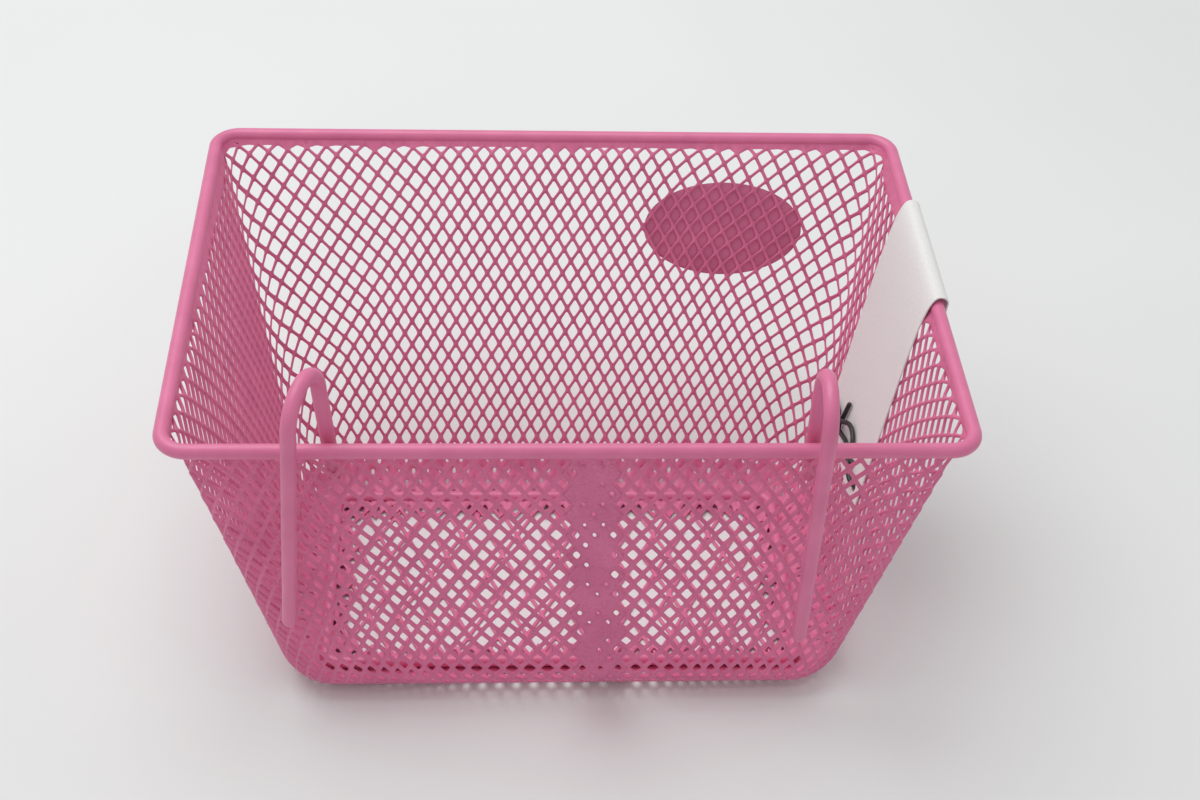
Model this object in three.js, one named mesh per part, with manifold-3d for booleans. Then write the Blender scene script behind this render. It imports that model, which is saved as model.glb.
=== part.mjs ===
// A wire-mesh bicycle basket in coated steel: a bent rod rim, expanded-mesh walls that fold in
// at the bottom, a mesh floor under a welded rod ring, and two bent rod hooks for a handlebar.
// An oval plate sits outside the front wall, and a paper card hangs over the rim on a wire tie.
//
// Millimetres, +Z up. The hooks are on the -Y side, which faces the rider, and +X is the right.
// The origin is at the middle of the floor, on its underside.

import * as THREE from 'three';
import { mergeVertices } from 'three/addons/utils/BufferGeometryUtils.js';
import Module from 'manifold-3d';

// Fits
const CLEARANCE = 0.3; // between pieces that touch on the real basket

// Rim rod
const RIM_WIDTH = 310; // across the rod's centre line
const RIM_DEPTH = 216;
const RIM_HEIGHT = 142; // rod's centre line above the underside of the floor
const RIM_CORNER_RADIUS = 14;
const RIM_ROD_DIAMETER = 6;

// Mesh walls and floor
const MESH_THICKNESS = 1.2;
const FLOOR_WIDTH = 234; // where the side walls would meet the ground without their fold
const FLOOR_DEPTH = 134;
const NEAR_WALL_FLARE = 5; // how far the hook side's foot stands out from its top
const FOLD_RADIUS = 18; // of the bend from wall to floor
const CORNER_RADIUS_TOP = 17; // of the wall's upright corners, in plan
const CORNER_RADIUS_FOOT = 25;
const FLOOR_CORNER_PULL = 4; // the floor panel's corners are drawn in by this much
const FLOOR_CORNER_SHARPNESS = 8; // and the higher this is, the less of its edges goes with them

// Diamond openings
const STRAND_WIDTH = 3.4;
const WALL_ROWS = 4;
const FRONT_COLUMNS = 7;
const SIDE_COLUMNS = 5;
const FLOOR_COLUMNS = 5;
const FLOOR_ROWS = 3;

// Lapped seam where the two ends of the wall's sheet meet
const SEAM_WIDTH = 17;
const SEAM_TOP_X = 8;
const SEAM_FOOT_X = 15;
const SEAM_DROP = 8; // from the rim's centre line to the top of the lap
const SEAM_FOOT_GAP = 3.4; // from the lap's lower end to the start of the fold

// Floor ring
const RING_ROD_DIAMETER = 5;
const RING_INSET = 1.2; // from the joint of wall and floor to the rod's centre line

// Handlebar hooks
const HOOK_ROD_DIAMETER = 6;
const HOOK_SPACING = 185; // between the welded legs
const HOOK_GAP = 23; // clear width for a 22.2 mm handlebar
const HOOK_RISE = 38; // from the rim's centre line to the top of the hook's centre line
const HOOK_TAIL = 22; // welded leg below the rim's centre line
const HOOK_LEG = 106; // straight free leg
const HOOKS = [
  { name: 'left_hook', side: -1, splay: 23, leanOut: 3.3, leanIn: 4.3 },
  { name: 'right_hook', side: 1, splay: 0, leanOut: 0, leanIn: 0 },
];

// Oval plate on the front wall
const PLATE_WIDTH = 74;
const PLATE_HEIGHT = 43;
const PLATE_THICKNESS = 1;
const PLATE_FROM_SIDE = 77; // from the right side of the rim to the plate's middle
const PLATE_DROP = 40; // down the wall from the rim's centre line to the plate's middle

// Card tag over the right side of the rim
const TAG_WIDTH = 64; // along the rim
const TAG_THICKNESS = 0.6;
const TAG_BELOW_TIE = 9; // from the strand that holds the tie to the card's end inside
const TAG_LIP = 16; // down the outside
const TAG_Y = 12.5; // middle of the card on the rim, from the rim's own middle
const TAG_SKEW_ANGLE = 14.6; // degrees that the card lies off square to the rim

// Wire tie that holds the card to the mesh
const TIE_DIAMETER = 1.8;
const TIE_HOLE_DIAMETER = 4.5; // punched in the card
const TIE_HOLE_SPREAD = 11; // between the two holes
const TIE_REACH = 47; // along the wall, from the strand that it goes round to its longer end
const TIE_RISE = 13; // up the wall, from that strand to its shorter end
const TIE_COLUMN = 4.5; // the tie goes round the strand at this place in the wall's diamonds
const TIE_ROW = 4.5;

// Facets
const ROD_SIDES = 10;
const TIE_SIDES = 6;
const BEND_STEPS = 6; // in a quarter turn of a rod
const FOLD_STEPS = 2; // in a strand that runs round the fold
const CORNER_STEPS = 2; // in a strand that runs round an upright corner
const PLATE_SEGMENTS = 20; // in each half of the oval
const TIE_STEPS = 48;
const HOLE_SEGMENTS = 12;
const WELD_TOLERANCE = 1e-4;

// Finishes
const COATING = new THREE.MeshStandardMaterial({ color: 0xd8588a, roughness: 0.42, metalness: 0 });
const CARD = new THREE.MeshStandardMaterial({ color: 0xe4e2df, roughness: 0.85, metalness: 0 });
const TIE = new THREE.MeshStandardMaterial({ color: 0x121212, roughness: 0.5, metalness: 0 });

const rimRadius = RIM_ROD_DIAMETER / 2;
const ringRadius = RING_ROD_DIAMETER / 2;
const hookRadius = HOOK_ROD_DIAMETER / 2;
const tieRadius = TIE_DIAMETER / 2;

const { lerp, degToRad, clamp } = THREE.MathUtils;
const vector = (x, y, z) => new THREE.Vector3(x, y, z);

// One wall's section: straight down from the rim, then round the fold to the floor. It is drawn as
// a distance out from the basket's middle and a height, by the share v of the way down the sheet.
function wallSection(top, foot) {
  const lean = Math.atan2(top - foot, RIM_HEIGHT);
  const setback = FOLD_RADIUS * Math.tan(Math.PI / 4 - lean / 2);
  const straight = RIM_HEIGHT / Math.cos(lean) - setback;
  const length = straight + FOLD_RADIUS * (Math.PI / 2 - lean);
  const at = (v) => {
    const along = v * length;
    if (along <= straight) {
      return { out: top - along * Math.sin(lean), z: RIM_HEIGHT - along * Math.cos(lean) };
    }
    const turn = lean + (along - straight) / FOLD_RADIUS;
    return {
      out: foot - setback + FOLD_RADIUS * Math.cos(turn),
      z: FOLD_RADIUS - FOLD_RADIUS * Math.sin(turn),
    };
  };
  // Middle of the upright corner's arc, which stays put once the fold begins.
  const foldStart = straight / length;
  const cornerAt = (v) => {
    const share = Math.min(v / foldStart, 1);
    return at(share * foldStart).out - lerp(CORNER_RADIUS_TOP, CORNER_RADIUS_FOOT, share);
  };
  return { lean, length, straight, foldStart, at, cornerAt };
}

const insideRim = rimRadius + CLEARANCE;
const nearTop = RIM_DEPTH / 2 - insideRim;
const nearFoot = nearTop + NEAR_WALL_FLARE;
const near = wallSection(nearTop, nearFoot);
const far = wallSection(nearTop, FLOOR_DEPTH - nearFoot);
const side = wallSection(RIM_WIDTH / 2 - insideRim, FLOOR_WIDTH / 2);
const floorMiddleY = (far.at(1).out - near.at(1).out) / 2;

// Outer faces of the walls and of the upright corners, with u along the wall and v down it.
function endWall(section, facing) {
  return (u, v) => {
    const { out, z } = section.at(v);
    const halfWidth = side.cornerAt(v) - CLEARANCE;
    return vector(facing * lerp(halfWidth, -halfWidth, u), facing * out, z);
  };
}

function sideWall(facing) {
  return (u, v) => {
    const { out, z } = side.at(v);
    const nearEnd = -near.cornerAt(v) + CLEARANCE;
    const farEnd = far.cornerAt(v) - CLEARANCE;
    return vector(facing * out, lerp(nearEnd, farEnd, facing > 0 ? u : 1 - u), z);
  };
}

function corner(section, facingX, facingY) {
  const outward = facingX * facingY > 0;
  return (u, v) => {
    const turn = (outward ? u : 1 - u) * Math.PI / 2;
    const sidePoint = side.at(v);
    const endPoint = section.at(v);
    const middleX = side.cornerAt(v);
    const middleY = section.cornerAt(v);
    return vector(
      facingX * (middleX + (sidePoint.out - middleX) * Math.cos(turn)),
      facingY * (middleY + (endPoint.out - middleY) * Math.sin(turn)),
      lerp(sidePoint.z, endPoint.z, Math.sin(turn) ** 2),
    );
  };
}

// Underside of the floor panel, inside the turned-in edges of the walls.
function floorPanel(u, v) {
  const across = 2 * u - 1;
  const along = 2 * v - 1;
  const halfWidth = side.at(1).out - CLEARANCE;
  const halfDepth = (near.at(1).out + far.at(1).out) / 2 - CLEARANCE;
  const cornerShare = Math.abs(across * along) ** FLOOR_CORNER_SHARPNESS;
  return vector(
    across * (halfWidth - FLOOR_CORNER_PULL * cornerShare),
    floorMiddleY + along * (halfDepth - FLOOR_CORNER_PULL * cornerShare),
    0,
  );
}

// Outward direction of a surface, from two short steps along it.
function outwardAt(surface, u, v) {
  const step = 1e-3;
  const u0 = clamp(u - step, 0, 1);
  const u1 = clamp(u + step, 0, 1);
  const v0 = clamp(v - step, 0, 1);
  const v1 = clamp(v + step, 0, 1);
  const alongU = surface(u1, v).sub(surface(u0, v));
  const alongV = surface(u, v1).sub(surface(u, v0));
  return alongV.cross(alongU).normalize();
}

// Collects triangles of a closed body and joins the corners that they share.
class Body {
  constructor() {
    this.positions = [];
  }

  triangle(a, b, c) {
    for (const p of [a, b, c]) this.positions.push(p.x, p.y, p.z);
  }

  quad(a, b, c, d) {
    this.triangle(a, b, c);
    this.triangle(a, c, d);
  }

  geometry() {
    const loose = new THREE.BufferGeometry();
    loose.setAttribute('position', new THREE.Float32BufferAttribute(this.positions, 3));
    const joined = mergeVertices(loose, WELD_TOLERANCE);
    joined.computeVertexNormals();
    return joined;
  }
}

// Shrinks a flat outline by a distance of its own for each side.
function inset(outline, distances) {
  const count = outline.length;
  return outline.map((point, k) => {
    const before = outline[(k + count - 1) % count].clone().sub(point).normalize();
    const after = outline[(k + 1) % count].clone().sub(point).normalize();
    const sine = Math.abs(before.x * after.y - before.y * after.x);
    const fromBefore = distances[(k + count - 1) % count] / sine;
    const fromAfter = distances[k] / sine;
    return point.clone().addScaledVector(after, fromBefore).addScaledVector(before, fromAfter);
  });
}

// Outlines of the diamonds on a panel, in half-diamond steps, with triangles along its edges.
function diamondCells(columns, rows) {
  const cells = [];
  for (let i = 0; i <= 2 * columns; i += 1) {
    for (let j = 0; j <= 2 * rows; j += 1) {
      if ((i + j) % 2 === 0) continue;
      const corners = [[i - 1, j], [i, j + 1], [i + 1, j], [i, j - 1]];
      cells.push(corners.filter(([a, b]) => a >= 0 && b >= 0 && a <= 2 * columns && b <= 2 * rows));
    }
  }
  return cells;
}

// A panel of expanded mesh on a surface: each diamond has its opening, and each strand its width.
function meshPanel(surface, columns, rows, { strandSteps = 1, foldFrom = 2 } = {}) {
  const body = new Body();
  const place = (point, depth) => {
    const outward = outwardAt(surface, point.x, point.y);
    return surface(point.x, point.y).addScaledVector(outward, -depth);
  };
  const outer = (point) => place(point, 0);
  const inner = (point) => place(point, MESH_THICKNESS);
  const atEnd = (share) => share === 0 || share === 1;
  const onEdge = (p, q) => (p.x === q.x && atEnd(p.x)) || (p.y === q.y && atEnd(p.y));
  const between = (a, b, steps, t) => a.clone().lerp(b, t / steps);
  for (const cell of diamondCells(columns, rows)) {
    const outline = cell.map(([i, j]) => new THREE.Vector2(i / (2 * columns), j / (2 * rows)));
    const sum = outline.reduce((total, p) => total.add(p), new THREE.Vector2());
    const middle = sum.divideScalar(outline.length);
    const halfU = 0.5 / columns;
    const halfV = 0.5 / rows;
    const [u0, u1] = [middle.x - halfU, middle.x + halfU].map((u) => clamp(u, 0, 1));
    const [v0, v1] = [middle.y - halfV, middle.y + halfV].map((v) => clamp(v, 0, 1));
    const scale = new THREE.Vector2(
      surface(u0, middle.y).distanceTo(surface(u1, middle.y)) / (u1 - u0),
      surface(middle.x, v0).distanceTo(surface(middle.x, v1)) / (v1 - v0),
    );
    const next = (k) => (k + 1) % outline.length;
    const widths = outline.map((p, k) => (onEdge(p, outline[next(k)]) ? STRAND_WIDTH : STRAND_WIDTH / 2));
    const flat = outline.map((p) => p.clone().multiply(scale));
    const opening = inset(flat, widths).map((p) => p.divide(scale));
    outline.forEach((p, k) => {
      const q = outline[next(k)];
      const upright = p.x === q.x;
      const flatSteps = upright ? 1 : strandSteps;
      const steps = Math.max(p.y, q.y) > foldFrom ? FOLD_STEPS : flatSteps;
      for (let t = 0; t < steps; t += 1) {
        const rim0 = between(p, q, steps, t);
        const rim1 = between(p, q, steps, t + 1);
        const hole0 = between(opening[k], opening[next(k)], steps, t);
        const hole1 = between(opening[k], opening[next(k)], steps, t + 1);
        body.quad(outer(rim0), outer(rim1), outer(hole1), outer(hole0));
        body.quad(inner(rim1), inner(rim0), inner(hole0), inner(hole1));
        body.quad(outer(hole0), outer(hole1), inner(hole1), inner(hole0));
        if (onEdge(p, q)) body.quad(outer(rim1), outer(rim0), inner(rim0), inner(rim1));
      }
    });
  }
  return body.geometry();
}

// A round rod along a line of points, closed into a ring or with flat ends.
function rod(points, radius, sides, closed = false) {
  const body = new Body();
  const count = points.length;
  const tangents = points.map((p, k) => {
    const before = closed ? points[(k + count - 1) % count] : points[Math.max(k - 1, 0)];
    const after = closed ? points[(k + 1) % count] : points[Math.min(k + 1, count - 1)];
    return after.clone().sub(before).normalize();
  });
  const start = Math.abs(tangents[0].z) > 0.9 ? vector(1, 0, 0) : vector(0, 0, 1);
  const across = start.addScaledVector(tangents[0], -start.dot(tangents[0])).normalize();
  const turn = new THREE.Quaternion();
  const sections = points.map((p, k) => {
    if (k > 0) across.applyQuaternion(turn.setFromUnitVectors(tangents[k - 1], tangents[k]));
    const other = tangents[k].clone().cross(across);
    return Array.from({ length: sides }, (_, s) => {
      const angle = (2 * Math.PI * s) / sides;
      return p.clone()
        .addScaledVector(across, radius * Math.cos(angle))
        .addScaledVector(other, radius * Math.sin(angle));
    });
  });
  const spans = closed ? count : count - 1;
  for (let k = 0; k < spans; k += 1) {
    const here = sections[k];
    const there = sections[(k + 1) % count];
    for (let s = 0; s < sides; s += 1) {
      const t = (s + 1) % sides;
      body.quad(here[s], here[t], there[t], there[s]);
    }
  }
  if (!closed) {
    const last = sections[count - 1];
    for (let s = 1; s < sides - 1; s += 1) {
      body.triangle(sections[0][0], sections[0][s + 1], sections[0][s]);
      body.triangle(last[0], last[s], last[s + 1]);
    }
  }
  return body.geometry();
}

// A sheet of even thickness through rows of points, with its outer face on the left of the rows.
function sheet(rows, thickness, outward) {
  const body = new Body();
  const outer = rows;
  const inner = rows.map((row, k) => row.map((p) => p.clone().addScaledVector(outward[k], -thickness)));
  const last = rows[0].length - 1;
  for (let k = 0; k < rows.length - 1; k += 1) {
    for (let c = 0; c < last; c += 1) {
      body.quad(outer[k][c], outer[k + 1][c], outer[k + 1][c + 1], outer[k][c + 1]);
      body.quad(inner[k][c], inner[k][c + 1], inner[k + 1][c + 1], inner[k + 1][c]);
    }
    body.quad(outer[k][0], inner[k][0], inner[k + 1][0], outer[k + 1][0]);
    body.quad(outer[k][last], outer[k + 1][last], inner[k + 1][last], inner[k][last]);
  }
  const end = rows.length - 1;
  for (let c = 0; c < last; c += 1) {
    body.quad(outer[0][c], outer[0][c + 1], inner[0][c + 1], inner[0][c]);
    body.quad(outer[end][c], inner[end][c], inner[end][c + 1], outer[end][c + 1]);
  }
  return body.geometry();
}

// Rounded outline in plan, from the middles of its four corner arcs.
function ringPoints(cornerArcs, z) {
  const points = [];
  cornerArcs.forEach(({ x, y, radiusX, radiusY }, k) => {
    for (let t = 0; t <= BEND_STEPS; t += 1) {
      const angle = (k + t / BEND_STEPS) * Math.PI / 2;
      points.push(vector(x + radiusX * Math.cos(angle), y + radiusY * Math.sin(angle), z));
    }
  });
  return points;
}

function rimRod() {
  const x = RIM_WIDTH / 2 - RIM_CORNER_RADIUS;
  const y = RIM_DEPTH / 2 - RIM_CORNER_RADIUS;
  const arcs = [[x, y], [-x, y], [-x, -y], [x, -y]].map(([cx, cy]) => (
    { x: cx, y: cy, radiusX: RIM_CORNER_RADIUS, radiusY: RIM_CORNER_RADIUS }
  ));
  return rod(ringPoints(arcs, RIM_HEIGHT), rimRadius, ROD_SIDES, true);
}

// The ring lies over the joint between the floor panel and the turned-in edges of the walls.
function floorRing() {
  const bend = (section) => section.at(1).out - RING_INSET - section.cornerAt(1);
  const arc = (facingX, section, facingY) => ({
    x: facingX * side.cornerAt(1),
    y: facingY * section.cornerAt(1),
    radiusX: bend(side),
    radiusY: bend(section),
  });
  const arcs = [arc(1, far, 1), arc(-1, far, 1), arc(-1, near, -1), arc(1, near, -1)];
  return rod(ringPoints(arcs, MESH_THICKNESS + CLEARANCE + ringRadius), ringRadius, ROD_SIDES, true);
}

// Overlap of the sheet's two ends, lying on the outside of the hook side's wall.
function wallSeam() {
  const outward = vector(0, -Math.cos(near.lean), -Math.sin(near.lean));
  const lift = CLEARANCE + MESH_THICKNESS;
  const rows = [0, 1].map((share) => {
    const { out, z } = near.at(lerp(SEAM_DROP, near.straight - SEAM_FOOT_GAP, share) / near.length);
    const middle = lerp(SEAM_TOP_X, SEAM_FOOT_X, share);
    return [-0.5, 0.5].map((half) => (
      vector(middle + half * SEAM_WIDTH, -out, z).addScaledVector(outward, lift)
    ));
  });
  return sheet(rows, MESH_THICKNESS, [outward, outward]);
}

// Welded leg up from inside the rim, over the handlebar, and the free leg down outside.
function hook({ side: facing, splay, leanOut, leanIn }) {
  const bendRadius = (HOOK_GAP + HOOK_ROD_DIAMETER) / 2;
  const x = facing * HOOK_SPACING / 2;
  const y = -(nearTop - MESH_THICKNESS - CLEARANCE - hookRadius);
  const bendZ = RIM_HEIGHT + HOOK_RISE - bendRadius;
  const away = vector(facing * Math.sin(degToRad(splay)), -Math.cos(degToRad(splay)), 0);
  const points = [vector(x, y, RIM_HEIGHT - HOOK_TAIL)];
  for (let t = 0; t <= 2 * BEND_STEPS; t += 1) {
    const angle = (t / BEND_STEPS) * Math.PI / 2;
    const reach = bendRadius * (1 - Math.cos(angle));
    points.push(vector(x, y, bendZ + bendRadius * Math.sin(angle)).addScaledVector(away, reach));
  }
  const down = vector(facing * Math.tan(degToRad(leanOut)), Math.tan(degToRad(leanIn)), -1).normalize();
  points.push(points[points.length - 1].clone().addScaledVector(down, HOOK_LEG));
  return rod(points, hookRadius, ROD_SIDES);
}

function ovalPlate() {
  const shape = new THREE.Shape();
  shape.absellipse(0, 0, PLATE_WIDTH / 2, PLATE_HEIGHT / 2, 0, 2 * Math.PI);
  const settings = { depth: PLATE_THICKNESS, bevelEnabled: false, curveSegments: PLATE_SEGMENTS };
  return new THREE.ExtrudeGeometry(shape, settings);
}

// A place on the inner face of the right wall: y along it, down from the rim, and off the mesh.
function rightWallPlace(y, down, off) {
  const { out, z } = side.at(down / side.length);
  const inward = vector(-Math.cos(side.lean), 0, Math.sin(side.lean));
  return vector(out, y, z).addScaledVector(inward, MESH_THICKNESS + off);
}

// Strand that the tie goes round, and the two places beside it where the tie passes the card.
const tieStrand = (() => {
  const wall = sideWall(1);
  const columnStep = 1 / (2 * SIDE_COLUMNS);
  const rowStep = 1 / (2 * WALL_ROWS);
  const middle = wall(TIE_COLUMN * columnStep, TIE_ROW * rowStep);
  const foot = wall((TIE_COLUMN + 0.5) * columnStep, (TIE_ROW + 0.5) * rowStep);
  const down = TIE_ROW * rowStep * side.length;
  const run = new THREE.Vector2(foot.y - middle.y, 0.5 * rowStep * side.length).normalize();
  const holes = [1, -1].map((end) => ({
    y: middle.y + end * run.y * TIE_HOLE_SPREAD / 2,
    down: down - end * run.x * TIE_HOLE_SPREAD / 2,
  }));
  return { y: middle.y, down, holes };
})();

// The card runs up the inside of the wall, over the rim, and ends in a short lip outside.
function cardTag() {
  const offMesh = MESH_THICKNESS + CLEARANCE;
  const wallOffset = insideRim * Math.cos(side.lean);
  const innerRadius = wallOffset + offMesh;
  const outerRadius = innerRadius + TAG_THICKNESS;
  const rimX = RIM_WIDTH / 2;
  const inward = vector(-Math.cos(side.lean), 0, Math.sin(side.lean));
  const downWall = vector(-Math.sin(side.lean), 0, -Math.cos(side.lean));
  const bendTurn = Math.PI - side.lean;
  const overTop = outerRadius * Math.PI / 2;
  const rows = [];
  const outward = [];
  const addRow = (centre, direction, reach) => {
    const y = TAG_Y - Math.tan(degToRad(TAG_SKEW_ANGLE)) * reach;
    rows.push([-0.5, 0.5].map((half) => vector(centre.x, y + half * TAG_WIDTH, centre.z)));
    outward.push(direction);
  };
  const rimCentre = vector(rimX, 0, RIM_HEIGHT);
  const flapTop = rimCentre.clone().addScaledVector(inward, outerRadius);
  const flap = tieStrand.down + TAG_BELOW_TIE;
  addRow(flapTop.clone().addScaledVector(downWall, flap), inward, overTop + flap);
  for (let t = 0; t <= 2 * BEND_STEPS; t += 1) {
    const angle = Math.PI - side.lean - (t / (2 * BEND_STEPS)) * bendTurn;
    const direction = vector(Math.cos(angle), 0, Math.sin(angle));
    const reach = overTop - (Math.PI - angle) * outerRadius;
    addRow(rimCentre.clone().addScaledVector(direction, outerRadius), direction, reach);
  }
  const lipEnd = vector(rimX + outerRadius, 0, RIM_HEIGHT - TAG_LIP);
  addRow(lipEnd, vector(1, 0, 0), -overTop - TAG_LIP);
  return sheet(rows, TAG_THICKNESS, outward);
}

// Holes in the card for the tie, drilled square to the wall.
function tieHoles() {
  return tieStrand.holes.map(({ y, down }) => {
    const radius = TIE_HOLE_DIAMETER / 2;
    const length = 8 * TAG_THICKNESS; // well past both faces of the card
    const drill = new THREE.CylinderGeometry(radius, radius, length, HOLE_SEGMENTS);
    drill.rotateZ(Math.PI / 2 - side.lean);
    const place = rightWallPlace(y, down, CLEARANCE + TAG_THICKNESS / 2);
    return drill.translate(place.x, place.y, place.z);
  });
}

// The tie lies crossed on the card, and its loop passes the card and goes round one strand.
function wireTie() {
  const onCard = CLEARANCE + TAG_THICKNESS + 2 * CLEARANCE + tieRadius;
  const crossing = onCard + TIE_DIAMETER + CLEARANCE;
  const behind = -(MESH_THICKNESS + CLEARANCE + tieRadius);
  const [upper, lower] = tieStrand.holes;
  const along = (share, from = tieStrand) => from.y + share * TIE_REACH;
  const up = (share, from = tieStrand) => from.down - share * TIE_RISE;
  const beside = (hole) => [(hole.y + tieStrand.y) / 2, (hole.down + tieStrand.down) / 2, behind];
  const route = [
    [along(1), up(0.15), onCard],
    [along(0.83), up(0.23), onCard + CLEARANCE],
    [along(0.66), up(0.38), crossing],
    [along(0.47), up(0.77), onCard + CLEARANCE],
    [along(0.28), up(0.69), onCard],
    [along(0.09, upper), up(0.08, upper), onCard + CLEARANCE],
    [upper.y, upper.down, CLEARANCE],
    [upper.y, upper.down, -MESH_THICKNESS],
    beside(upper),
    beside(lower),
    [lower.y, lower.down, -MESH_THICKNESS],
    [lower.y, lower.down, CLEARANCE],
    [along(0.11, lower), up(0.08, lower), onCard + CLEARANCE],
    [along(0.36), up(0.23), onCard],
    [along(0.68), up(-0.08), onCard],
    [along(0.7), up(0.46), onCard],
    [along(0.7), up(1), onCard],
  ];
  const curve = new THREE.CatmullRomCurve3(route.map((place) => rightWallPlace(...place)));
  return rod(curve.getSpacedPoints(TIE_STEPS), tieRadius, TIE_SIDES);
}

const wasm = await Module();
wasm.setup();

function toSolid(geometry) {
  const bare = geometry.clone();
  bare.deleteAttribute('normal');
  bare.deleteAttribute('uv');
  const joined = mergeVertices(bare, WELD_TOLERANCE);
  return new wasm.Manifold(new wasm.Mesh({
    numProp: 3,
    vertProperties: new Float32Array(joined.attributes.position.array),
    triVerts: new Uint32Array(joined.index.array),
  }));
}

function toGeometry(solid) {
  const { vertProperties, triVerts } = solid.getMesh();
  const geometry = new THREE.BufferGeometry();
  geometry.setAttribute('position', new THREE.Float32BufferAttribute(vertProperties, 3));
  geometry.setIndex(new THREE.Uint32BufferAttribute(triVerts, 1));
  geometry.computeVertexNormals();
  return geometry;
}

function cut(geometry, tools) {
  return toGeometry(tools.reduce((solid, tool) => solid.subtract(toSolid(tool)), toSolid(geometry)));
}

const basket = new THREE.Group();
basket.position.y = -floorMiddleY;

function add(name, geometry, material) {
  const mesh = new THREE.Mesh(geometry, material);
  mesh.name = name;
  basket.add(mesh);
  return mesh;
}

add('rim_rod', rimRod(), COATING);
const wallFold = { foldFrom: 1 - 0.5 / WALL_ROWS };
add('near_wall_mesh', meshPanel(endWall(near, -1), FRONT_COLUMNS, WALL_ROWS, wallFold), COATING);
add('far_wall_mesh', meshPanel(endWall(far, 1), FRONT_COLUMNS, WALL_ROWS, wallFold), COATING);
add('left_wall_mesh', meshPanel(sideWall(-1), SIDE_COLUMNS, WALL_ROWS, wallFold), COATING);
add('right_wall_mesh', meshPanel(sideWall(1), SIDE_COLUMNS, WALL_ROWS, wallFold), COATING);
for (const [end, section, facingY] of [['near', near, -1], ['far', far, 1]]) {
  for (const [hand, facingX] of [['left', -1], ['right', 1]]) {
    const surface = corner(section, facingX, facingY);
    const panel = meshPanel(surface, 1, WALL_ROWS, { strandSteps: CORNER_STEPS, ...wallFold });
    add(`${end}_${hand}_corner_mesh`, panel, COATING);
  }
}
add('wall_seam', wallSeam(), COATING);
add('floor_mesh', meshPanel(floorPanel, FLOOR_COLUMNS, FLOOR_ROWS), COATING);
add('floor_ring', floorRing(), COATING);
for (const shape of HOOKS) add(shape.name, hook(shape), COATING);

const plate = add('oval_plate', ovalPlate(), COATING);
const plateSeat = far.at(PLATE_DROP / far.length);
plate.position.set(RIM_WIDTH / 2 - PLATE_FROM_SIDE, plateSeat.out, plateSeat.z);
plate.rotation.x = -(Math.PI / 2 + far.lean);
plate.translateZ(CLEARANCE);

add('card_tag', cut(cardTag(), tieHoles()), CARD);
add('tag_tie', wireTie(), TIE);

export default basket;
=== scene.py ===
# A wire-mesh bicycle basket in pink coated steel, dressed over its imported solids: a fine expanded
# mesh on the walls and the floor, smooth rods, an oval plate, a paper card and its wire tie.
#
# Sizes are in millimetres, about the middle of the rim's plan and up from the ground. to_part()
# turns them into metres in the part's frame, whose origin is at the middle of the floor.

import math
import random

import bpy
import numpy as np
from mathutils import Matrix, Vector


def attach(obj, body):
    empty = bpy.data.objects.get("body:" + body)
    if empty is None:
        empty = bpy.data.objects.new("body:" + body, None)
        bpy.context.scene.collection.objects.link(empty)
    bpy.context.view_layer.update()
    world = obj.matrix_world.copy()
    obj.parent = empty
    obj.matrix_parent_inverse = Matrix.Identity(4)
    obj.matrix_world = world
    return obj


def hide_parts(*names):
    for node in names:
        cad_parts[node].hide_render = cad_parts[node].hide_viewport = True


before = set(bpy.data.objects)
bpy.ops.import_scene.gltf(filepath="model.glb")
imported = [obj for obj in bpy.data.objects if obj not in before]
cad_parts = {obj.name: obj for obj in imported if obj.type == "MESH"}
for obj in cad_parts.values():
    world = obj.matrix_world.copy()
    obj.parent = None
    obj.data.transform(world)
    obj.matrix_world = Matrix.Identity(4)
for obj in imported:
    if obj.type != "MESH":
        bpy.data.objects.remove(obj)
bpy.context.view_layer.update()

MM = 0.001

# Shell, rods and plate, as in the part's source, apart from what is noted
RIM_WIDTH = 310
RIM_DEPTH = 216
RIM_HEIGHT = 142
RIM_CORNER_RADIUS = 10.5  # less than the solid's, as on the photograph's rim
RIM_ROD_DIAMETER = 6
ROD_GAP = 0.3
SHEET_SOLID = 1.2
FLOOR_WIDTH = 234
FLOOR_DEPTH = 134
NEAR_WALL_FLARE = 5
FOLD_RADIUS = 18
CORNER_RADIUS_TOP = 8  # so that the sheet follows the rod
CORNER_RADIUS_FOOT = 25
FLOOR_CORNER_PULL = 4
FLOOR_CORNER_SHARPNESS = 8
RING_ROD_DIAMETER = 5
RING_INSET = 1.2
HOOK_ROD_DIAMETER = 6
HOOK_SPACING = 185
HOOK_GAP = 23
HOOK_RISE = 38
HOOK_TAIL = 22
HOOK_LEG = 106
PLATE_WIDTH = 74
PLATE_HEIGHT = 43
PLATE_THICKNESS = 1
PLATE_FROM_SIDE = 77  # from the middle line of the rim's right side to the plate's middle
PLATE_DROP = 40  # down the wall to its middle

# Expanded mesh. A column is half a diamond along the wall, and a row is half a diamond down it
STRAND_WIDTH = 1.52
STRAND_DEPTH = 0.8
SIDE_STRAND_DEPTH = 1.4
STRAND_TILT = 0.7  # on the end walls, a strand's upper edge leans in and its lower edge out
STRAND_LEAN = 0.1  # on the side walls, a strand's edges lean in and out along the sheet
TILT_SPAN = 0.3  # rows or columns over which the edge goes from one to the other
SIDE_FADE = 0.1  # of a side wall's length, from each corner
OPENING_BEND = 0.75  # radius in the corners of an opening
EDGE_ROUND = 0.8  # a strand is rounded off over this much of its width
SIDE_COLUMNS = 47.1  # from corner to corner
SIDE_ROW = 5.3
SIDE_CREST = 0.58  # of a side wall's length, from the far corner, where the rows are highest
SIDE_BOW = 1.6  # how the rows bend down from there
SHEAR = 0.1035  # columns that the sheet slips sideways in each row
STRETCH_LIMIT = 30  # the stretch starts no more than this many columns from a wall's middle
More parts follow.
